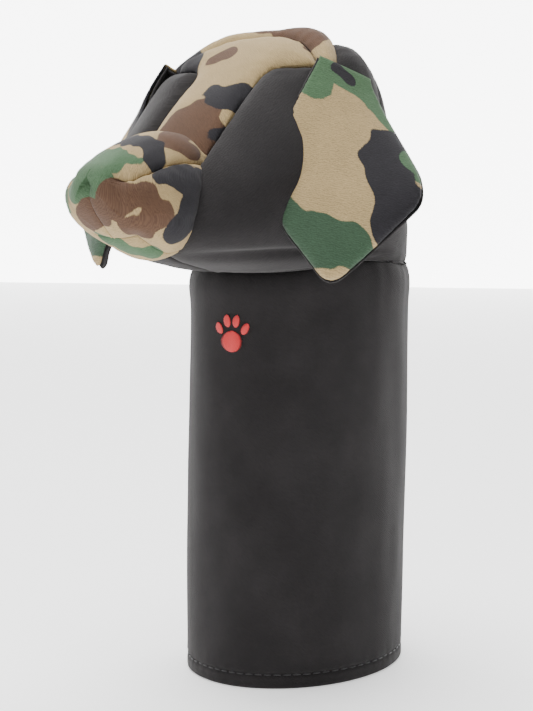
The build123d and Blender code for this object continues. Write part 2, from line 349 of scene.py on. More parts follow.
def thicken(obj, thickness):
    wall = obj.modifiers.new("cloth", "SOLIDIFY")
    wall.thickness = thickness * MM
    wall.offset = -1.0
    wall.use_even_offset = False
    wall.use_rim = True
    apply_modifiers(obj)


def apply_modifiers(obj):
    evaluated = obj.evaluated_get(bpy.context.evaluated_depsgraph_get())
    mesh = bpy.data.meshes.new_from_object(evaluated)
    obj.modifiers.clear()
    old = obj.data
    obj.data = mesh
    mesh.name = obj.name
    bpy.data.meshes.remove(old)


# ---- Camouflage print -----------------------------------------------------------------------------
FAR = 99.0
PRINT_COLOURS = ("print_green", "print_dark_green", "print_brown", "print_ink")


def print_values(places, layout):
    """The print's values on a piece, from its patches and the holes in its darkest ones."""
    values = {name: print_blobs(places, layout[name]) for name in PRINT_COLOURS}
    holes = layout.get("holes_in_ink")
    if holes:
        values["print_ink"] = np.maximum(values["print_ink"], -print_blobs(places, holes))
    return values


def print_blobs(places, chains):
    """Distance in millimetres to the edge of a printed patch, below 0 inside it. A chain is a list
    of (u, v, radius) joined one to the next."""
    out = np.full(len(places), FAR)
    for chain in chains:
        links = list(zip(chain, chain[1:])) or [(chain[0], chain[0])]
        for first, second in links:
            a, b = np.array(first[:-1], float), np.array(second[:-1], float)
            along = b - a
            length = max(float(along @ along), 1e-9)
            t = np.clip((places - a) @ along / length, 0, 1)
            radius = first[-1] + (second[-1] - first[-1]) * t
            reach = np.linalg.norm(places - a - t[:, None] * along, axis=1) - radius
            out = np.minimum(out, reach)
    return out


# ---- Materials ------------------------------------------------------------------------------------
class Value:
    """A node socket that arithmetic can be written on."""

    def __init__(self, tree, socket):
        self.tree, self.socket = tree, socket

    def math(self, operation, *others):
        node = self.tree.nodes.new("ShaderNodeMath")
        node.operation = operation
        for slot_number, item in enumerate((self,) + others):
            if isinstance(item, Value):
                self.tree.links.new(item.socket, node.inputs[slot_number])
            else:
                node.inputs[slot_number].default_value = item
        return Value(self.tree, node.outputs[0])

    def __add__(self, other):
        return self.math("ADD", other)

    def __sub__(self, other):
        return self.math("SUBTRACT", other)

    def __mul__(self, other):
        return self.math("MULTIPLY", other)

    def __rsub__(self, other):
        return (self * -1.0) + other

    __radd__, __rmul__ = __add__, __mul__

    def step(self, low, high):
        """0 below low, 1 above high, smooth between."""
        node = self.tree.nodes.new("ShaderNodeMapRange")
        node.interpolation_type = "SMOOTHSTEP"
        self.tree.links.new(self.socket, node.inputs["Value"])
        node.inputs["From Min"].default_value = low
        node.inputs["From Max"].default_value = high
        return Value(self.tree, node.outputs["Result"])


class Finish:
    """A material under construction."""

    def __init__(self, name):
        self.material = bpy.data.materials.new(name)
        self.material.use_nodes = True
        self.tree = self.material.node_tree
        self.shader = self.tree.nodes["Principled BSDF"]

    def node(self, kind, settings=None, inputs=None, output=0):
        node = self.tree.nodes.new(kind)
        for key, value in (settings or {}).items():
            setattr(node, key, value)
        for key, value in (inputs or {}).items():
            if isinstance(value, Value):
                self.tree.links.new(value.socket, node.inputs[key])
            else:
                node.inputs[key].default_value = value
        return Value(self.tree, node.outputs[output])

    def attribute(self, name, output="Fac"):
        return self.node("ShaderNodeAttribute", {"attribute_name": name}, output=output)

    def place(self):
        return self.node("ShaderNodeTexCoord", output="Object")

    def noise(self, where, scale, detail=2.0):
        return self.node("ShaderNodeTexNoise", {"noise_dimensions": "3D"},
                         {"Vector": where, "Scale": scale, "Detail": detail})

    def mix(self, factor, first, second):
        """Colour between first and second."""
        return self.node("ShaderNodeMix", {"data_type": "RGBA"}, {0: factor, 6: first, 7: second}, 2)

    def tint(self, colour, amount):
        """The colour made lighter or darker by a value around 1."""
        base = colour if isinstance(colour, Value) else colour[:3]
        return self.node("ShaderNodeVectorMath", {"operation": "SCALE"},
                         {"Vector": base, "Scale": amount})

    def bump(self, height, distance, strength):
        return self.node("ShaderNodeBump", None,
                         {"Height": height, "Distance": distance, "Strength": strength})

    def feed(self, socket_name, value):
        if isinstance(value, Value):
            self.tree.links.new(value.socket, self.shader.inputs[socket_name])
        else:
            self.shader.inputs[socket_name].default_value = value


def colour(red, green, blue):
    return (red, green, blue, 1.0)


TWILL_PITCH = 0.85      # one diagonal rib of the cloth, in millimetres


def twill(finish, where):
    """Height of a diagonal twill weave, 0 to 1. where is the cloth's own place in millimetres."""
    u = finish.node("ShaderNodeSeparateXYZ", None, {"Vector": where}, 0)
    v = Value(finish.tree, u.socket.node.outputs[1])
    across_ribs, along_ribs = u * 0.62 + v * 0.78, u * 0.78 - v * 0.62
    wander = finish.noise(where, 0.5, 2.0) * 2.2
    rib = ((across_ribs + wander) * (2 * math.pi / TWILL_PITCH)).math("SINE") * 0.5 + 0.5
    streak_place = finish.node("ShaderNodeCombineXYZ", None,
                               {"X": across_ribs * 1.5, "Y": along_ribs * 0.35, "Z": 0.0})
    streak = finish.noise(streak_place, 1.0, 2.0)
    return rib * 0.35 + streak * 0.65


def cloth_finish(finish, base, roughness, sheen):
    """Brushed cotton twill over a base colour: ribs, uneven dye, lint and soft sheen."""
    where = finish.attribute("weave", "Vector")
    ribs = twill(finish, where)
    slubs = finish.noise(where, 1.3, 3.0)
    mottle = finish.noise(where, 0.09, 3.0)
    shade = ribs * 0.80 + slubs * 0.62 + mottle * 0.30 + 0.14
    finish.feed("Base Color", finish.tint(base, shade))
    finish.feed("Roughness", roughness)
    finish.feed("Specular IOR Level", 0.18)
    finish.feed("Sheen Weight", sheen)
    finish.feed("Sheen Roughness", 0.55)
    finish.feed("Sheen Tint", colour(0.95, 0.93, 0.92))
    height = ribs * 0.6 + slubs * 0.5
    finish.feed("Normal", finish.bump(height, 0.00030, 0.7))
    return finish.material


def black_twill():
    finish = Finish("black_twill")
    where = finish.attribute("weave", "Vector")
    wear = finish.noise(where, 0.03, 4.0).step(0.35, 0.75)
    base = finish.mix(wear, colour(0.0150, 0.0135, 0.0140), colour(0.0215, 0.0195, 0.0200))
    return cloth_finish(finish, base, 0.93, 0.09)


BEIGE = colour(0.335, 0.245, 0.120)
GREEN = colour(0.060, 0.115, 0.058)
DARK_GREEN = colour(0.036, 0.070, 0.040)
BROWN = colour(0.088, 0.047, 0.028)
INK = colour(0.018, 0.017, 0.020)


def camo_twill():
    """Woodland print: the patches are laid out on each piece, and this gives them their edges."""
    finish = Finish("camo_twill")
    where = finish.attribute("weave", "Vector")
    ragged = (finish.noise(where, 0.075, 1.0) - 0.5) * 9.0 + (finish.noise(where, 1.6, 1.0) - 0.5) * 0.9
    base = BEIGE
    for name, ink in (("print_green", GREEN), ("print_dark_green", DARK_GREEN),
                      ("print_brown", BROWN), ("print_ink", INK)):
        inside = 1 - (finish.attribute(name) + ragged).step(-0.30, 0.30)
        base = finish.mix(inside, base, ink)
    return cloth_finish(finish, base, 0.92, 0.09)


def lining_finish():
    finish = Finish("brushed_lining")
    place = finish.place()
    pile = finish.noise(place, 900.0, 3.0)
    soft = finish.noise(place, 60.0, 2.0)
    base = finish.tint(colour(0.028, 0.028, 0.031), pile * 0.5 + soft * 0.6 + 0.45)
    finish.feed("Base Color", base)
    finish.feed("Roughness", 0.95)
    finish.feed("Sheen Weight", 0.35)
    finish.feed("Normal", finish.bump(pile, 0.0006, 0.6))
    return finish.material


def thread_finish(name, ink, roughness, sheen):
    finish = Finish(name)
    place = finish.place()
    fibre = finish.noise(place, 2600.0, 2.0)
    finish.feed("Base Color", finish.tint(ink, fibre * 0.7 + 0.65))
    finish.feed("Roughness", roughness)
    finish.feed("Sheen Weight", sheen)
    finish.feed("Normal", finish.bump(fibre, 0.0001, 0.5))
    return finish.material


BLACK_TWILL = black_twill()
CAMO_TWILL = camo_twill()
LINING = lining_finish()
BLACK_THREAD = thread_finish("black_thread", colour(0.020, 0.019, 0.020), 0.55, 0.2)
RED_THREAD = thread_finish("red_thread", colour(0.62, 0.028, 0.030), 0.38, 0.1)


# ---- Head -----------------------------------------------------------------------------------------
def rings(curve, columns, to_point):
    """Points of a grid: one ring of columns points for each row of the curve."""
    points = []
    for row in curve:
        for c in range(columns):
            points.append(to_point(row, 2 * math.pi * c / columns))
    return np.array(points)


def head_point(row, turn):
    height, ahead, behind, half_width, squareness = row
    c, s = math.cos(turn), math.sin(turn)
    if s > 0:
        squareness = front_squareness(height, squareness)
    x = power(c, 2 / squareness) * half_width
    y = -(ahead - behind) / 2 - power(s, 2 / squareness) * (ahead + behind) / 2
    return (x, y, height)


STRIPE_AHEAD = [15.0, 30.0, 40.0, 48.0, 60.0, 77.0, 95.0]
STRIPE_HALF = [26.0, 22.5, 21.2, 20.6, 20.2, 20.6, 20.0]
ARM_REACH = 47.0             # how far out the stripe's arms run, to the ears
ARM_HEIGHT = 94.5            # and how high their front edge is


def lateral_seam(x):
    """How far ahead the ear-to-ear seam is, at a place across the head."""
    return 29.0 + 16.0 * (np.abs(x) / ARM_REACH) ** 2


def stripe_field(points):
    """Below 0 on the forehead stripe and its arms."""
    x, ahead = np.abs(points[:, 0]), -points[:, 1]
    strip = x - np.interp(ahead, STRIPE_AHEAD, STRIPE_HALF)
    arm = np.maximum(ARM_HEIGHT - points[:, 2], x - ARM_REACH)
    soften = 8.0
    h = np.clip(0.5 + 0.5 * (arm - strip) / soften, 0, 1)
    both = arm * (1 - h) + strip * h - soften * h * (1 - h)
    front = np.maximum(both, lateral_seam(x) - ahead)
    return np.maximum(front, 40.0 - points[:, 2])


def crown_field(points):
    """Below 0 on the crown panel, behind the ear-to-ear seam."""
    x, ahead = np.abs(points[:, 0]), -points[:, 1]
    back = 4.0 + 31.0 * (x / 50.0) ** 2
    field = np.maximum(ahead - lateral_seam(x), back - ahead)
    return np.maximum(field, 84.0 - points[:, 2])


SIDE_SEAM_AHEAD = 12.0


def side_field(points):
    return -points[:, 1] - SIDE_SEAM_AHEAD


def head_skin():
    columns = detail(220, 150)
    points = rings(HEAD_CURVE, columns, head_point)
    skin = Skin(points, [t[::-1] for t in grid_triangles(len(HEAD_CURVE), columns, True)])
    skin.relax(2, points[:, 2] < 0.01)
    skin.relax(14, points[:, 2] < 98)
    # the forehead sinks between the two fuller side panels
    x, z = skin.points[:, 0], skin.points[:, 2]
    sink = np.exp(-(x / 24.0) ** 2) * smooth_step(z, 72, 98) * smooth_step(-skin.points[:, 1], 16, 34)
    skin.points[:, 1] += 4.0 * sink
    skin.cut(lambda p: -(muzzle_value(p) + 1.5), keep="below", strength=lambda p: np.full(len(p), 0.0))
    skin.cut(stripe_field)
    skin.cut(crown_field)
    skin.cut(side_field, only=lambda p: np.maximum(-stripe_field(p), -crown_field(p)),
             strength=lambda p: np.full(len(p), 0.6))
    skin.cut(lambda p: p[:, 0], only=lambda p: np.maximum(p[:, 2] - 24, p[:, 1] + 40),
             strength=lambda p: np.full(len(p), 0.5))
    return skin


def neck_sway(points):
    """The neck seam isn't level: it rides higher at the sides and at the back."""
    turn = np.abs(np.arctan2(points[:, 0], -points[:, 1]))
    rise = 1.6 * (1 - np.cos(turn)) + 4.2 * np.exp(-((turn - 1.35) / 0.6) ** 2)
    moved = points.copy()
    moved[:, 2] += rise * np.exp(-(points[:, 2] / 18.0) ** 2)
    return moved


PANEL_CLOTH = 1.3            # thickness of the head's and muzzle's cloth
HEAD_SEAM_DEPTH = 3.4        # how far the head's seams are drawn in
HEAD_SEAM_REACH = 3.2        # and how soon the cloth is back beside them
HEAD_SWELL = 1.6             # how far the panels fill out between seams
HEAD_FULLNESS = 1.3          # how far the whole head is filled out
CROWN_FLATNESS = 1.6         # and how much less so at the crown
NECK_FOLD_DEPTH = 2.6


def dress_head(skin):
    """Seams pulled in, panels filled out, and the soft unevenness of a stuffed head."""
    normal = skin.normals()
    base = skin.points[:, 2] < 0.05
    skin.seam[base] = 1.0
    pull, distance = skin.seam_pull(HEAD_SEAM_REACH)
    wide, _ = skin.seam_pull(9.0)
    z = skin.points[:, 2]
    lumps = noise_at(skin.points, 34.0, 3) * 0.9 + noise_at(skin.points, 15.0, 5) * 0.35
    pucker = noise_at(skin.points * np.array([1, 1, 1.4]), 5.0, 8) * wide * 0.5
    free = smooth_step(distance, 0.0, 9.0)
    # folds where the cheek bends down into the neck
    turn = np.arctan2(skin.points[:, 0], -skin.points[:, 1])
    crease_height = 8.0 + 3.0 * np.sin(turn * 2.2 + 0.4)
    fold = np.exp(-((z - crease_height) / 2.2) ** 2) * smooth_step(turn, 0.0, 0.5) \
        * (1 - smooth_step(turn, 1.3, 1.9))
    swell = (HEAD_SWELL * (1 - wide) + lumps * free) * smooth_step(z, 0, 24)
    move = -HEAD_SEAM_DEPTH * pull + swell + pucker - NECK_FOLD_DEPTH * fold + HEAD_FULLNESS \
        - CROWN_FLATNESS * smooth_step(z, 82, 106)
    move = np.where(base, -1.8, move)
    skin.points = skin.points + normal * move[:, None]
    skin.points[base, 2] = 0.0
    skin.points = neck_sway(skin.points)


def weave_head(points, face_panel):
    """The cloth's own coordinates on one panel, in millimetres."""
    x, ahead, up = points[:, 0], -points[:, 1], points[:, 2]
    if face_panel in ("stripe", "crown"):
        return np.stack([x, 0.75 * up - 0.75 * ahead, 0 * x], 1)
    if face_panel == "back":
        return np.stack([x, up, 0 * x], 1)
    return np.stack([ahead * 0.9 - np.abs(x) * 0.6, up, 0 * x], 1)


STRIPE_PRINT = {                 # place across, place ahead, radius
    "print_green": [[(-24, 66, 5)]],
    "print_dark_green": [],
    "print_brown": [[(-15, 49, 4.0), (-8, 44.5, 4.5)], [(-4, 83, 8), (8, 78, 8.5), (16, 86, 9), (18, 94, 9)],
                    [(-12, 17, 8), (4, 19, 9), (18, 23, 10), (32, 29, 7)]],
    "print_ink": [[(3, 66, 3.6), (12, 69, 5.5), (22, 67, 6.5)], [(17, 83, 2.6), (25, 80, 4.5)],
                  [(-24, 88, 6)], [(-31, 47, 8), (-40, 45, 10), (-46, 38, 9), (-52, 44, 10)]],
}


def build_head():
    skin = head_skin()
    centres = skin.centres()
    stripe = stripe_field(centres) < 0
    crown = (crown_field(centres) < 0) & ~stripe
    back = (side_field(centres) < 0) & ~stripe & ~crown
    left = ~stripe & ~crown & ~back & (centres[:, 0] > 0)
    right = ~stripe & ~crown & ~back & ~left
    flat_places = np.stack([skin.points[:, 0], -skin.points[:, 1]], 1)
    dress_head(skin)
    plan = [("head_stripe", "stripe", stripe, CAMO_TWILL, "forehead_stripe", "camo_twill"),
            ("head_crown", "crown", crown, CAMO_TWILL, "crown_panel", "camo_twill"),
            ("head_back", "back", back, BLACK_TWILL, "back_panel", "black_twill"),
            ("head_side_left", "side", left, BLACK_TWILL, "side_panel_left", "black_twill"),
            ("head_side_right", "side", right, BLACK_TWILL, "side_panel_right", "black_twill")]
    for name, kind, chosen, material, node, slot in plan:
        skin.values["weave"] = weave_head(skin.points, kind)
        if material is CAMO_TWILL:
            skin.values.update(print_values(flat_places, STRIPE_PRINT))
        obj = panel(name, skin, chosen, PANEL_CLOTH, material)
        hand_over(obj, [node], slot, "cover")
        for print_name in PRINT_COLOURS:
            skin.values.pop(print_name, None)
    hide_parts("head_stuffing")
    return skin


# ---- Muzzle ---------------------------------------------------------------------------------------
def muzzle_point(row, turn):
    share, half_width, half_height, rise, squareness = row
    x = power(math.cos(turn), 2 / squareness) * half_width
    z = MUZZLE_MIDDLE + rise + power(math.sin(turn), 2 / squareness) * half_height
    return (x, -(MUZZLE_TIP / MM - MUZZLE_LENGTH * (1 - share)), z)


TOP_AHEAD = [80.0, 102.0, 125.0, 134.0, 139.0]
TOP_HALF = [22.0, 23.5, 21.0, 17.5, 13.0]
TOP_EDGE = 42.0                  # height of the top panel's front edge


def top_field(points):
    """Below 0 on the muzzle's top panel, which narrows towards the nose."""
    x, ahead = np.abs(points[:, 0]), -points[:, 1]
    return np.maximum(x - np.interp(ahead, TOP_AHEAD, TOP_HALF), TOP_EDGE - points[:, 2])


def top_strength(points):
    """Deep along the sides of the top panel, deepest at its corners, faint across the nose."""
    x, ahead = np.abs(points[:, 0]), -points[:, 1]
    corner = np.exp(-((x - 15.5) / 5.0) ** 2) * smooth_step(ahead, 128, 136)
    side = 1 - smooth_step(ahead, 131, 139)
    return np.maximum(np.maximum(side, 1.25 * corner), 0.06)


def chin_field(points):
    x, ahead = np.abs(points[:, 0]), -points[:, 1]
    return np.maximum(np.maximum(x - 13.0, ahead - 124.0), points[:, 2] - MUZZLE_MIDDLE + 14)


def nose_seam_strength(points):
    return 0.25 + 0.75 * np.exp(-((points[:, 2] - MUZZLE_MIDDLE - 9) / 7.0) ** 2)


def muzzle_skin():
    columns = detail(200, 130)
    points = rings(MUZZLE_CURVE, columns, muzzle_point)
    skin = Skin(points, grid_triangles(len(MUZZLE_CURVE), columns, True))
    skin.relax(2, -points[:, 1] < MUZZLE_TIP / MM - MUZZLE_LENGTH + 0.01)
    skin.cut(lambda p: -(head_value(p) + 2.5), keep="below", strength=lambda p: np.full(len(p), 0.0))
    skin.cut(top_field, strength=top_strength)
    skin.cut(chin_field, strength=lambda p: np.full(len(p), 0.45))
    skin.cut(lambda p: p[:, 0],
             only=lambda p: np.maximum(np.maximum(-top_field(p), -chin_field(p)), 100 + p[:, 1]),
             strength=nose_seam_strength)
    return skin


MUZZLE_PRINT = {                 # place across, ahead, above the neck seam, radius
    "print_green": [[(-20, 122, 49, 11), (-8, 130, 48, 11), (4, 130, 49, 9), (11, 127, 50, 5)],
                    [(-8, 138, 42, 9), (2, 138, 41, 8)], [(-20, 128, 34, 9)],
                    [(-8, 124, 16, 5), (0, 122, 14, 6), (10, 114, 11, 5)], [(-14, 104, 56, 8)]],
    "print_dark_green": [],
    "print_brown": [[(8, 97, 59, 8), (15, 106, 57, 6.5), (22, 98, 55, 6)], [(-16, 92, 62, 6)],
                    [(12, 136, 33, 8), (23, 129, 36, 5), (25, 124, 30, 7), (16, 128, 23, 7)],
                    [(0, 136, 27, 8), (-10, 131, 24, 5)], [(-26, 104, 38, 8)]],
    "print_ink": [[(-6, 113, 57, 6.5), (6, 115, 56, 6.5), (14, 117, 54, 6), (23, 119, 49, 5)],
                  [(26, 122, 43, 4.5), (28, 112, 43, 9.5), (29, 103, 40, 10), (29, 108, 30, 10),
                   (24, 113, 20, 7)],
                  [(-28, 116, 22, 8)]],
    "holes_in_ink": [[(27, 103.5, 50.5, 2.4)]],
}


MUZZLE_SEAM_DEPTH = 2.8
MUZZLE_SEAM_REACH = 3.2
MUZZLE_SWELL = 1.5
MUZZLE_FULLNESS = 1.3
MUZZLE_TUCK = 1.4            # how far its cloth is drawn in where it is sewn to the head


def build_muzzle():
    skin = muzzle_skin()
    centres = skin.centres()
    top = top_field(centres) < 0
    chin = (chin_field(centres) < 0) & ~top
    left = ~top & ~chin & (centres[:, 0] > 0)
    right = ~top & ~chin & ~left
    normal = skin.normals()
    crease = np.abs(head_value(skin.points))
    pull, distance = skin.seam_pull(MUZZLE_SEAM_REACH)
    wide, _ = skin.seam_pull(9.0)
    lumps = noise_at(skin.points, 26.0, 11) * 0.8 + noise_at(skin.points, 12.0, 12) * 0.3
    pucker = noise_at(skin.points, 4.5, 13) * np.maximum(wide, np.exp(-crease / 7.0)) * 0.55
    tuck = np.exp(-crease / 3.0)
    swell = MUZZLE_SWELL * (1 - wide) * smooth_step(crease, 0, 8)
    move = -MUZZLE_SEAM_DEPTH * pull + swell + lumps * smooth_step(distance, 0, 8) + pucker \
        - MUZZLE_TUCK * tuck + MUZZLE_FULLNESS
    skin.points = skin.points + normal * move[:, None]
    places = np.stack([skin.points[:, 0], -skin.points[:, 1], skin.points[:, 2]], 1)
    skin.values.update(print_values(places, MUZZLE_PRINT))
    across, ahead, up = np.abs(skin.points[:, 0]), -skin.points[:, 1], skin.points[:, 2]
    side = np.tanh((up - MUZZLE_MIDDLE) / 12.0)
    skin.values["weave"] = np.stack([ahead - across, up - across * side, 0 * up], 1)
    for name, chosen, node in (("muzzle_top_panel", top, "muzzle_top"),
                               ("muzzle_chin_panel", chin, "muzzle_chin"),
                               ("muzzle_jowl_left", left, "jowl_left"),
                               ("muzzle_jowl_right", right, "jowl_right")):
        obj = panel(name, skin, chosen, PANEL_CLOTH, CAMO_TWILL)
        hand_over(obj, [node], "camo_twill", "cover")
    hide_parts("muzzle_stuffing")
    return skin


# ---- Ears -----------------------------------------------------------------------------------------
EAR_FRONT_ROOT = np.array([47.155, -48.286, 293.606]) - np.array([0, 0, NECK_Z / MM])
EAR_BACK_ROOT = np.array([64.007, -28.523, 282.606]) - np.array([0, 0, NECK_Z / MM])
EAR_RUN = np.array([20.0, -26.5, -91.5])
EAR_BOW = 9.0                # how far the ear bows outward between root and tip
EAR_TURN = math.radians(27.0)    # it turns to face forward below its root
EAR_LENGTH = float(np.linalg.norm(EAR_RUN))
# outline in the ear's own plane: across towards the back, down from the root, rounding of the corner
EAR_OUTLINE = [(-11.0, -5.0, 0.0), (-12.0, 2.0, 2.5), (-29.0, 44.0, 12.0), (-32.0, 69.0, 8.0),
               (-30.5, 82.0, 8.0), (-3.0, 102.0, 8.0), (33.5, 58.0, 6.0), (33.0, 46.0, 6.0),
               (13.5, 4.0, 3.0), (12.0, -5.0, 0.0)]


def rounded_outline(corners, steps):
    out = []
    n = len(corners)
    for k in range(n):
        here = np.array(corners[k][:2])
        before, after = np.array(corners[k - 1][:2]), np.array(corners[(k + 1) % n][:2])
        setback = corners[k][2]
        if not setback:
            out.append(here)
            continue
        start = here + (before - here) / np.linalg.norm(before - here) * setback
        end = here + (after - here) / np.linalg.norm(after - here) * setback
        for i in range(steps + 1):
            t = i / steps
            out.append(start * (1 - t) ** 2 + here * 2 * t * (1 - t) + end * t * t)
    return np.array(out)


def outline_distance(places, outline):
    """Distance to a closed outline, below 0 inside it."""
    nearest = np.full(len(places), 1e9)
    inside = np.zeros(len(places), bool)
    for a, b in zip(outline, np.roll(outline, -1, axis=0)):
        along = b - a
        t = np.clip((places - a) @ along / max(float(along @ along), 1e-9), 0, 1)
        nearest = np.minimum(nearest, np.linalg.norm(places - a - t[:, None] * along, axis=1))
        rising = (a[1] > places[:, 1]) != (b[1] > places[:, 1])
        drop = b[1] - a[1] if abs(b[1] - a[1]) > 1e-9 else 1e-9
        inside ^= rising & (places[:, 0] < a[0] + (places[:, 1] - a[1]) / drop * along[0])
    return np.where(inside, -nearest, nearest)


def turned(vector, axis, angle):
    """The vector turned about an axis by each angle."""
    axis = axis / np.linalg.norm(axis)
    c, s = np.cos(angle)[:, None], np.sin(angle)[:, None]
    return vector * c + np.cross(axis, vector) * s + axis * (axis @ vector) * (1 - c)


def ear_place(across, down, lift):
    """Points of the left ear: across and down its plane, and lift off its middle surface."""
    root = (EAR_FRONT_ROOT + EAR_BACK_ROOT) / 2
    along_root = EAR_BACK_ROOT - EAR_FRONT_ROOT
    along_root = along_root / np.linalg.norm(along_root)
    outward = np.cross(EAR_RUN, along_root)
    outward /= np.linalg.norm(outward)
    share = np.maximum(down / EAR_LENGTH, 0)
    angle = EAR_TURN * smooth_step(share, 0.05, 0.62)
    flat = turned(along_root, EAR_RUN, angle)
    normal = np.cross(EAR_RUN, flat)
    normal /= np.linalg.norm(normal, axis=1)[:, None]
    bow = 6.75 * EAR_BOW * share ** 2 * (1 - share) - 1.5 * np.exp(-share / 0.15)
    # above the hinge line the ear turns in to the head
    fold = np.maximum(-down, 0)
    turn_in = 1 - np.exp(-fold / 1.5)
    up = -EAR_RUN / EAR_LENGTH
    middle = root + EAR_RUN * share[:, None] + outward * (bow - fold)[:, None] - up * (2.0 * turn_in)[:, None]
    lean = turn_in[:, None]
    away = normal * (1 - lean) + up * lean
    curl = np.where(across < 0, -2.4, 1.2) * (across / 34.0) ** 2 * np.minimum(share * 3, 1)
    return middle + flat * across[:, None] + away * (lift + curl)[:, None]


EAR_PRINT = {
    "print_green": [[(-15, 4, 12), (-15, 13, 9.5)], [(-4, 1, 11), (8, 2, 11.5), (19, 12, 9), (27, 22, 7)],
                    [(28, 37, 8), (33, 44, 7)]],
    "print_dark_green": [[(-32, 78, 9), (-19, 86, 11), (-4, 85, 11), (3, 84, 10)]],
    "print_brown": [],
    "print_ink": [[(18, 36, 9.5), (26, 31, 6)], [(16, 43, 9.5), (24, 60, 12.5), (22, 74, 10)],
                  [(32, 30, 5), (38, 44, 6)], [(-4, 3, 2.2), (2, 6, 2.6)]],
    "holes_in_ink": [[(30, 39, 5.5), (33, 43, 5)]],
}
RIGHT_EAR_PRINT = dict(
    EAR_PRINT, holes_in_ink=[],
    print_green=[[(4, 12, 9), (16, 8, 8)], [(26, 60, 9)]],
    print_brown=[[(0, 52, 9), (10, 60, 8)]],
    print_ink=[[(-26, 4, 16), (-24, 30, 12), (-30, 52, 10)], [(20, 24, 9), (30, 40, 8)]])


def ear_sheet(name, side, outline, facing, material, seed, layout):
    """One cloth of an ear, cut to its outline and filled out away from the other cloth."""
    step = detail(1.25, 2.0)
    us = np.arange(-40, 46, step)
    vs = np.arange(-8, 104, step)
    places = np.array([(u, v) for v in vs for u in us])
    flat = Skin(np.column_stack([places, np.zeros(len(places))]),
                grid_triangles(len(vs), len(us), False))
    flat.cut(lambda p: outline_distance(p[:, :2], outline), keep="below")
    across, down = flat.points[:, 0], flat.points[:, 1]
    edge = -outline_distance(flat.points[:, :2], outline)
    edge = np.maximum(edge, 0)
    root = smooth_step(down, 0, 42)
    full = np.sqrt(1 - np.clip(1 - edge / 11.0, 0, 1) ** 2.4)
    lumps = noise_at(flat.points, 24.0, seed) * 0.9 + noise_at(flat.points, 9.0, seed + 1) * 0.35
    pucker = noise_at(flat.points, 3.6, seed + 2) * np.exp(-edge / 4.5) * 0.5 * smooth_step(edge, 0, 1.6)
    height = 0.5 + full * (0.4 + 2.3 * root) + lumps * smooth_step(edge, 0, 8) * (0.3 + 0.7 * root) + pucker
    wave = noise_at(np.column_stack([across, down, down * 0]), 30.0, 42) * 1.6 * root
    world = ear_place(across, down, height * facing + wave)
    world[:, 0] *= side
    values = {"weave": np.stack([across * 0.8 + down * 0.6, down * 0.8 - across * 0.6, 0 * down], 1)}
    places = flat.points[:, :2]
    if material is CAMO_TWILL:
        values.update(print_values(places, layout))
    triangles = flat.triangles if facing * side > 0 else flat.triangles[:, ::-1]
    obj = make_mesh(name, world, triangles, values)
    obj.data.materials.append(material)
    thicken(obj, 0.9)
    return obj


def build_ear(word, side):
    outline = rounded_outline(EAR_OUTLINE, 7)
    grown = rounded_outline([(u * 1.025, 50 + (v - 50) * 1.015, r) for u, v, r in EAR_OUTLINE], 7)
    layout = EAR_PRINT if side > 0 else RIGHT_EAR_PRINT
    outer = ear_sheet("ear_" + word + "_outer_cloth", side, outline, 1, CAMO_TWILL, 51, layout)
    inner = ear_sheet("ear_" + word + "_inner_cloth", side, grown, -1, BLACK_TWILL, 61, layout)
    for obj, nodes, slot_name in ((outer, ("outer", "wadding"), "camo_twill"),
                                  (inner, ("inner",), "black_twill")):
        nodes = ["ear_" + word + "_" + node for node in nodes]
        hand_over(obj, nodes, slot_name, "ear_" + word)


# ---- Sleeve ---------------------------------------------------------------------------------------
HW, HD, LENGTH = sleeve_high.x / MM, sleeve_high.y / MM, NECK_Z / MM
SLEEVE_EASE = 0.5            # the cloth's own oval is this much inside the CAD one
HEM_LINE = (stitch_low.z + stitch_high.z) / 2 / MM


def oval(turn, out, height):
    """Points round the sleeve: turn from the front towards the left, out from its outer surface, and
    height above the mouth."""
    points = np.stack([HW * np.sin(turn), -HD * np.cos(turn), height - LENGTH], -1)
    normal = np.stack([HD * np.sin(turn), -HW * np.cos(turn), 0 * turn], -1)
    normal /= np.linalg.norm(normal, axis=-1)[..., None]
    return points + normal * np.asarray(out)[..., None]


def round_sleeve(turn, along):
    """Places round the sleeve to read noise at."""
    return np.stack([HW * np.sin(turn), HD * np.cos(turn), along], 1)


def sleeve_relief(turn, height):
    """How far the outer cloth stands out from its oval: hem, neck seam, back seam and soft folds."""
    round_place = round_sleeve(turn, height * 0.32)
    folds = noise_at(round_place, 30.0, 71) * 1.3 + noise_at(round_place, 12.0, 72) * 0.35
    near_hem = np.abs(height - HEM_LINE)
    pucker = noise_at(round_sleeve(turn, height * 0.5), 3.4, 73) \
        * np.exp(-near_hem / 3.5) * 0.40
    groove = -0.75 * np.exp(-(near_hem / 1.0) ** 2)
    neck = -2.6 * np.exp(-(LENGTH - height) / 2.2) + 0.7 * np.exp(-((LENGTH - height - 9) / 6.0) ** 2)
    gather = noise_at(round_sleeve(turn, 0 * turn), 7.0, 74) * np.exp(-(LENGTH - height) / 14.0) * 0.6
    free = smooth_step(height, 2, 30) * 0.75 + 0.25
    return folds * free + pucker + groove + neck + gather - SLEEVE_EASE


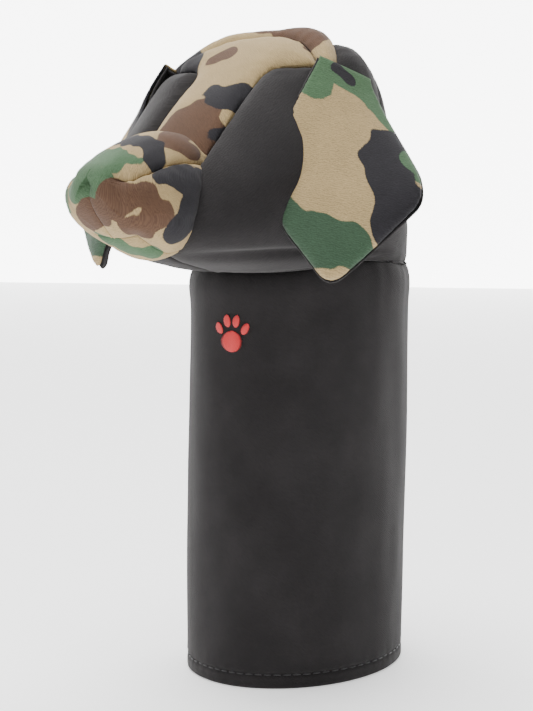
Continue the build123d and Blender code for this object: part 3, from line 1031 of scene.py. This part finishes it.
def build_sleeve():
    columns, rows = detail((420, 190), (240, 110))
    turns = 2 * math.pi * np.arange(columns) / columns
    heights = np.concatenate([np.linspace(1.6, 16, rows // 4), np.linspace(16, LENGTH, rows - rows // 4)[1:]])
    turn, height = [a.ravel() for a in np.meshgrid(turns, heights)]
    points = oval(turn, sleeve_relief(turn, height), height)
    # the cloth rolls under at the mouth and turns up inside
    roll = []
    for k in range(1, 13):
        angle = math.pi * k / 12
        out = sleeve_relief(turns, turns * 0 + 1.6) - 2.3 * (1 - math.cos(angle))
        roll.append(oval(turns, out, 1.6 - 1.6 * math.sin(angle) + 0 * turns))
    facing_top = facing_high.z / MM
    inside = []
    for z in np.linspace(3, facing_top, 18):
        base = np.full(columns, -4.6 + 0.25 * math.exp(-((z - HEM_LINE) / 1.0) ** 2))
        inside.append(oval(turns, base + noise_at(oval(turns, base, z + 0 * turns), 9.0, 75) * 0.4,
                           z + 0 * turns))
    whole = neck_sway(np.vstack(inside[::-1] + roll[::-1] + [points]))
    ring_count = len(whole) // columns
    skin = Skin(whole, grid_triangles(ring_count, columns, True))
    arc = np.array([math.atan2(p[0] / HW, -p[1] / HD) for p in whole])
    skin.values["weave"] = np.stack([arc * (HW + HD) / 2, whole[:, 2], 0 * arc], 1)
    everything = np.ones(len(skin.triangles), bool)
    obj = panel("sleeve_outer_cloth", skin, everything, 0.8, BLACK_TWILL)
    hand_over(obj, ["sleeve_cloth", "hem_facing", "sleeve_foam"], "black_twill", "cover")


LINING_TUCK = 2.2            # the lining's lower end goes behind the hem's facing
POCKET_LEAN = -14.0          # how far ahead of the sleeve's middle the pocket's top is
POCKET_ROOM = 4.2            # least distance from the pocket's lining to the head's form, low down
POCKET_ROOM_ABOVE = 3.0      # and this much more at its top


def build_lining():
    """Brushed lining: down the sleeve's inside and up over the pocket for the club head."""
    columns = detail(160, 100)
    turns = 2 * math.pi * np.arange(columns) / columns
    inner = lining_high.x / MM - HW - 1.0
    rows = []
    for z in np.linspace(lining_low.z / MM + 2, LENGTH - 2, 60):
        gather = -1.6 * math.exp(-((z - (elastic_low.z + elastic_high.z) / 2 / MM) / 7.0) ** 2)
        place = round_sleeve(turns, 0 * turns + z * 0.3)
        behind_facing = 1 - smooth_step(z, facing_high.z / MM - 1, facing_high.z / MM + 5)
        soft = noise_at(place, 16.0, 81) * 0.9 + LINING_TUCK * behind_facing
        pleat = noise_at(round_sleeve(turns, 0 * turns), 5.0, 82)
        rows.append(oval(turns, inner + gather + soft + pleat * abs(gather) * 0.5, z + 0 * turns))
    top = pocket_high.z / MM - LENGTH
    for share in np.linspace(0.05, 1, 26):
        rise = top * math.sin(share * math.pi / 2)
        size = max(math.cos(share * math.pi / 2) ** 0.55, 0.02)
        lean = POCKET_LEAN * (rise / top)
        place = oval(turns, inner + 0 * turns, LENGTH + 0 * turns)
        ring = np.stack([place[:, 0] * size, place[:, 1] * size + lean,
                         0 * turns + rise - 2 * (1 - share)], 1)
        # the pocket stays well inside the head's cloth
        inward = ring.mean(0) - ring
        inward /= np.maximum(np.linalg.norm(inward, axis=1), 1.0)[:, None]
        too_far = head_value(ring) + POCKET_ROOM + POCKET_ROOM_ABOVE * share
        ring += inward * np.maximum(too_far, 0)[:, None]
        rows.append(ring + noise_at(ring, 14.0, 83)[:, None] * np.array([0.6, 0.6, 0.4]))
    whole = np.vstack(rows)
    skin = Skin(whole, grid_triangles(len(rows), columns, True))
    obj = panel("sleeve_lining_cloth", skin, np.ones(len(skin.triangles), bool), 0.9, LINING)
    hand_over(obj, ["sleeve_lining", "head_lining", "neck_elastic"], "brushed_lining", "cover")


# ---- Stitching ------------------------------------------------------------------------------------
def stitch_tree():
    """Geometry nodes: one rounded stitch on each point, laid along the point's own directions."""
    tree = bpy.data.node_groups.new("stitches", "GeometryNodeTree")
    tree.interface.new_socket("Geometry", in_out="INPUT", socket_type="NodeSocketGeometry")
    tree.interface.new_socket("Geometry", in_out="OUTPUT", socket_type="NodeSocketGeometry")
    sockets = {}
    for name, kind in (("Thread radius", "Float"), ("Unevenness", "Float"), ("Seed", "Int"),
                       ("Thread", "Material")):
        sockets[name] = tree.interface.new_socket(name, in_out="INPUT", socket_type="NodeSocket" + kind)

    def node(kind, inputs=None, **settings):
        made = tree.nodes.new(kind)
        for key, value in settings.items():
            setattr(made, key, value)
        for key, value in (inputs or {}).items():
            if isinstance(value, bpy.types.NodeSocket):
                tree.links.new(value, made.inputs[key])
            else:
                made.inputs[key].default_value = value
        return made

    given = node("NodeGroupInput")
    points = node("GeometryNodeMeshToPoints", {"Mesh": given.outputs["Geometry"]})
    ball = node("GeometryNodeMeshUVSphere", {"Segments": 8, "Rings": 6, "Radius": 1.0})
    along = node("GeometryNodeInputNamedAttribute", {"Name": "along"}, data_type="FLOAT_VECTOR")
    away = node("GeometryNodeInputNamedAttribute", {"Name": "away"}, data_type="FLOAT_VECTOR")
    half = node("GeometryNodeInputNamedAttribute", {"Name": "half_length"}, data_type="FLOAT")
    first = node("FunctionNodeAlignRotationToVector", {"Vector": along.outputs["Attribute"]}, axis="X")
    second = node("FunctionNodeAlignRotationToVector",
                  {"Rotation": first.outputs["Rotation"], "Vector": away.outputs["Attribute"]},
                  axis="Z", pivot_axis="X")
    low = node("ShaderNodeMath", {0: 1.0, 1: given.outputs["Unevenness"]}, operation="SUBTRACT")
    high = node("ShaderNodeMath", {0: 1.0, 1: given.outputs["Unevenness"]}, operation="ADD")
    change = node("FunctionNodeRandomValue", {"Min": low.outputs[0], "Max": high.outputs[0],
                                              "Seed": given.outputs["Seed"]}, data_type="FLOAT")
    length = node("ShaderNodeMath", {0: half.outputs["Attribute"], 1: change.outputs["Value"]},
                  operation="MULTIPLY")
    size = node("ShaderNodeCombineXYZ", {"X": length.outputs[0], "Y": given.outputs["Thread radius"],
                                         "Z": given.outputs["Thread radius"]})
    laid = node("GeometryNodeInstanceOnPoints",
                {"Points": points.outputs["Points"], "Instance": ball.outputs["Mesh"],
                 "Rotation": second.outputs["Rotation"], "Scale": size.outputs["Vector"]})
    real = node("GeometryNodeRealizeInstances", {"Geometry": laid.outputs["Instances"]})
    dressed = node("GeometryNodeSetMaterial",
                   {"Geometry": real.outputs["Geometry"], "Material": given.outputs["Thread"]})
    node("NodeGroupOutput", {"Geometry": dressed.outputs["Geometry"]})
    return tree, {name: socket.identifier for name, socket in sockets.items()}


STITCH_TREE, STITCH_INPUTS = stitch_tree()


def sew(name, points, along, away, half_lengths, radius, unevenness, material, seed):
    """Stitches at the points, in millimetres from the neck seam."""
    obj = make_mesh(name, points, [], {"along": along, "away": away,
                                       "half_length": np.array(half_lengths) * MM})
    nodes = obj.modifiers.new("stitches", "NODES")
    nodes.node_group = STITCH_TREE
    nodes[STITCH_INPUTS["Thread radius"]] = radius * MM
    nodes[STITCH_INPUTS["Unevenness"]] = unevenness
    nodes[STITCH_INPUTS["Seed"]] = seed
    nodes[STITCH_INPUTS["Thread"]] = material
    apply_modifiers(obj)
    obj.data.shade_smooth()
    return obj


def on_sleeve(turn, height, lift):
    """Points on the finished sleeve cloth, and which way is out there."""
    turn, height = np.asarray(turn, float), np.asarray(height, float)
    out = sleeve_relief(turn, height)
    points = neck_sway(oval(turn, out + lift, height))
    away = neck_sway(oval(turn, out + lift + 1.0, height)) - points
    return points, away


def build_hem_stitches():
    count = 72
    turn = 2 * math.pi * (np.arange(count) + 0.5) / count
    points, away = on_sleeve(turn, turn * 0 + HEM_LINE, 0.32)
    along = np.roll(points, -1, 0) - np.roll(points, 1, 0)
    reach = np.linalg.norm(along, axis=1)
    obj = sew("hem_stitches", points, along, away, reach * 0.5 * 0.40, 0.34, 0.05, BLACK_THREAD, 3)
    hand_over(obj, ["hem_topstitching"], "black_thread", "cover")


PAW_TURN = math.radians(11.0)
# place across and up from the middle, half width and half height, lean in degrees
PAW_PADS = [(0.0, -3.6, 5.6, 4.8, 0), (-6.6, 2.4, 1.9, 2.7, 28), (-2.3, 5.8, 1.9, 2.8, 9),
            (2.3, 5.8, 1.9, 2.8, -9), (6.6, 2.4, 1.9, 2.7, -28)]


def build_paw():
    middle = (paw_low.z + paw_high.z) / 2 / MM
    pitch = 0.36
    places, ends, halves, lifts = [], [], [], []
    for across, up, half_width, half_height, lean in PAW_PADS:
        angle = math.radians(lean)
        side = np.array([math.cos(angle), math.sin(angle)])
        rise = np.array([-math.sin(angle), math.cos(angle)])
        for step in np.arange(-half_height + pitch / 2, half_height, pitch):
            half = half_width * math.sqrt(1 - (step / half_height) ** 2)
            places.append(np.array([across, up]) + rise * step)
            ends.append(side)
            halves.append(half + 0.1)
            lifts.append(0.15 + 0.55 * math.sqrt(1 - (step / half_height) ** 2))
    places, ends = np.array(places), np.array(ends)
    to_turn = lambda across: PAW_TURN + across / (HW + 0.6)
    points, away = on_sleeve(to_turn(places[:, 0]), middle + places[:, 1], np.array(lifts))
    beyond = places + ends
    further, _ = on_sleeve(to_turn(beyond[:, 0]), middle + beyond[:, 1], np.array(lifts))
    obj = sew("paw_stitches", points, further - points, away, halves, 0.27, 0.03, RED_THREAD, 5)
    hand_over(obj, ["paw_emblem"], "red_thread", "cover")


def build_back_seam():
    """The felled seam down the back of the sleeve, with its two rows of stitches."""
    half, rows = 4.0, 150        # half width of the strip, and rows of its mesh
    heights = np.linspace(HEM_LINE + 1.5, LENGTH - 3, rows)
    shares = np.linspace(-1, 1, 13)
    share, height = [a.ravel() for a in np.meshgrid(shares, heights)]
    turn = math.pi + share * half / HW
    lift = 0.75 * (1 - np.abs(share) ** 8) - 0.25 - 0.28 * np.exp(-((np.abs(share) - 0.72) / 0.09) ** 2)
    points, _ = on_sleeve(turn, height, lift)
    skin = Skin(points, grid_triangles(rows, len(shares), False),
                weave=np.stack([share * half, height * 1.0, 0 * share], 1))
    obj = panel("back_seam_strip", skin, np.ones(len(skin.triangles), bool), 0.6, BLACK_TWILL)
    hand_over(obj, ["sleeve_back_seam"], "black_twill", "cover")
    pitch = 3.2
    levels = np.arange(heights[0] + 2, heights[-1] - 1, pitch)
    for word, place in (("left", -0.72), ("right", 0.72)):
        turn = math.pi + place * half / HW + 0 * levels
        points, away = on_sleeve(turn, levels, 0.38)
        above, _ = on_sleeve(turn, levels + 1, 0.38)
        stitches = sew("back_seam_stitches_" + word, points, above - points, away,
                       0 * levels + pitch * 0.4, 0.24, 0.06, BLACK_THREAD, 7)
        hand_over(stitches, [], "black_thread", "cover")


# ---- Stage ----------------------------------------------------------------------------------------
STAGE_PAINT = colour(0.9, 0.9, 0.9)


def stage_material(name, glow):
    finish = Finish(name)
    for socket_name, value in (("Emission Color", STAGE_PAINT), ("Emission Strength", glow),
                               ("Base Color", STAGE_PAINT), ("Roughness", 0.9)):
        finish.feed(socket_name, value)
    return finish.material


CAMERA_AZIMUTH = math.radians(40.0)


def build_stage():
    side, near = 4.0, 3.0
    points = [(-side, -near, 0), (side, -near, 0), (side, side, 0), (-side, side, 0)]
    mesh = bpy.data.meshes.new("floor")
    mesh.from_pydata(points, [], [(0, 1, 2, 3)])
    floor = show("floor", mesh)
    mesh.materials.append(stage_material("floor_paint", 0.8))
    back = floor.copy()
    back.name = "backdrop"
    back.data = mesh.copy()
    back.data.materials[0] = stage_material("backdrop_paint", 7.0)
    back.rotation_euler = (math.pi / 2, 0, CAMERA_AZIMUTH)
    back.location = (-3.0 * math.sin(CAMERA_AZIMUTH), 3.0 * math.cos(CAMERA_AZIMUTH), 0)
    bpy.context.scene.collection.objects.link(back)


CENTRE = (0, -0.02, 0.16)        # what the lights point at
# name, place, width in metres, watts
LIGHTS = [("key", (0.8, -1.0, 1.0), 0.9, 5.5),
          ("top", (-0.1, -0.3, 1.5), 1.0, 33),
          ("left", (-1.3, -0.7, 0.5), 1.0, 4)]


def add_light(name, place, size, power_watts):
    lamp = bpy.data.lights.new(name, "AREA")
    lamp.shape = "DISK"
    lamp.size = size
    lamp.energy = power_watts
    obj = show(name, lamp)
    obj.location = place
    obj.rotation_euler = (Vector(CENTRE) - Vector(place)).to_track_quat("-Z", "Y").to_euler()


CAMERA_DISTANCE = 0.802
CAMERA_HEIGHT = 0.236


def build_camera():
    camera_data = bpy.data.cameras.new("camera")
    camera_data.lens = 82.9
    camera_data.sensor_width = 36.0
    camera = show("camera", camera_data)
    camera.location = (math.sin(CAMERA_AZIMUTH) * CAMERA_DISTANCE,
                       -math.cos(CAMERA_AZIMUTH) * CAMERA_DISTANCE, CAMERA_HEIGHT)
    pan = CAMERA_AZIMUTH + math.radians(1.17)
    pitch, roll = math.radians(-6.0), math.radians(0.65)
    camera.rotation_euler = (Matrix.Rotation(pan, 3, "Z") @ Matrix.Rotation(math.pi / 2 + pitch, 3, "X")
                             @ Matrix.Rotation(roll, 3, "Z")).to_euler()
    camera_data.clip_end = 50
    bpy.context.scene.camera = camera


def build_world():
    world = bpy.data.worlds.new("studio")
    world.use_nodes = True
    background = world.node_tree.nodes["Background"]
    background.inputs["Color"].default_value = colour(1, 1, 1)
    background.inputs["Strength"].default_value = 0.12
    bpy.context.scene.world = world


build_head()
build_muzzle()
build_ear("left", 1)
build_ear("right", -1)
build_sleeve()
build_lining()
build_hem_stitches()
build_paw()
build_back_seam()
build_stage()
build_camera()
build_world()
for name, place, size, power_watts in LIGHTS:
    add_light(name, place, size, power_watts)
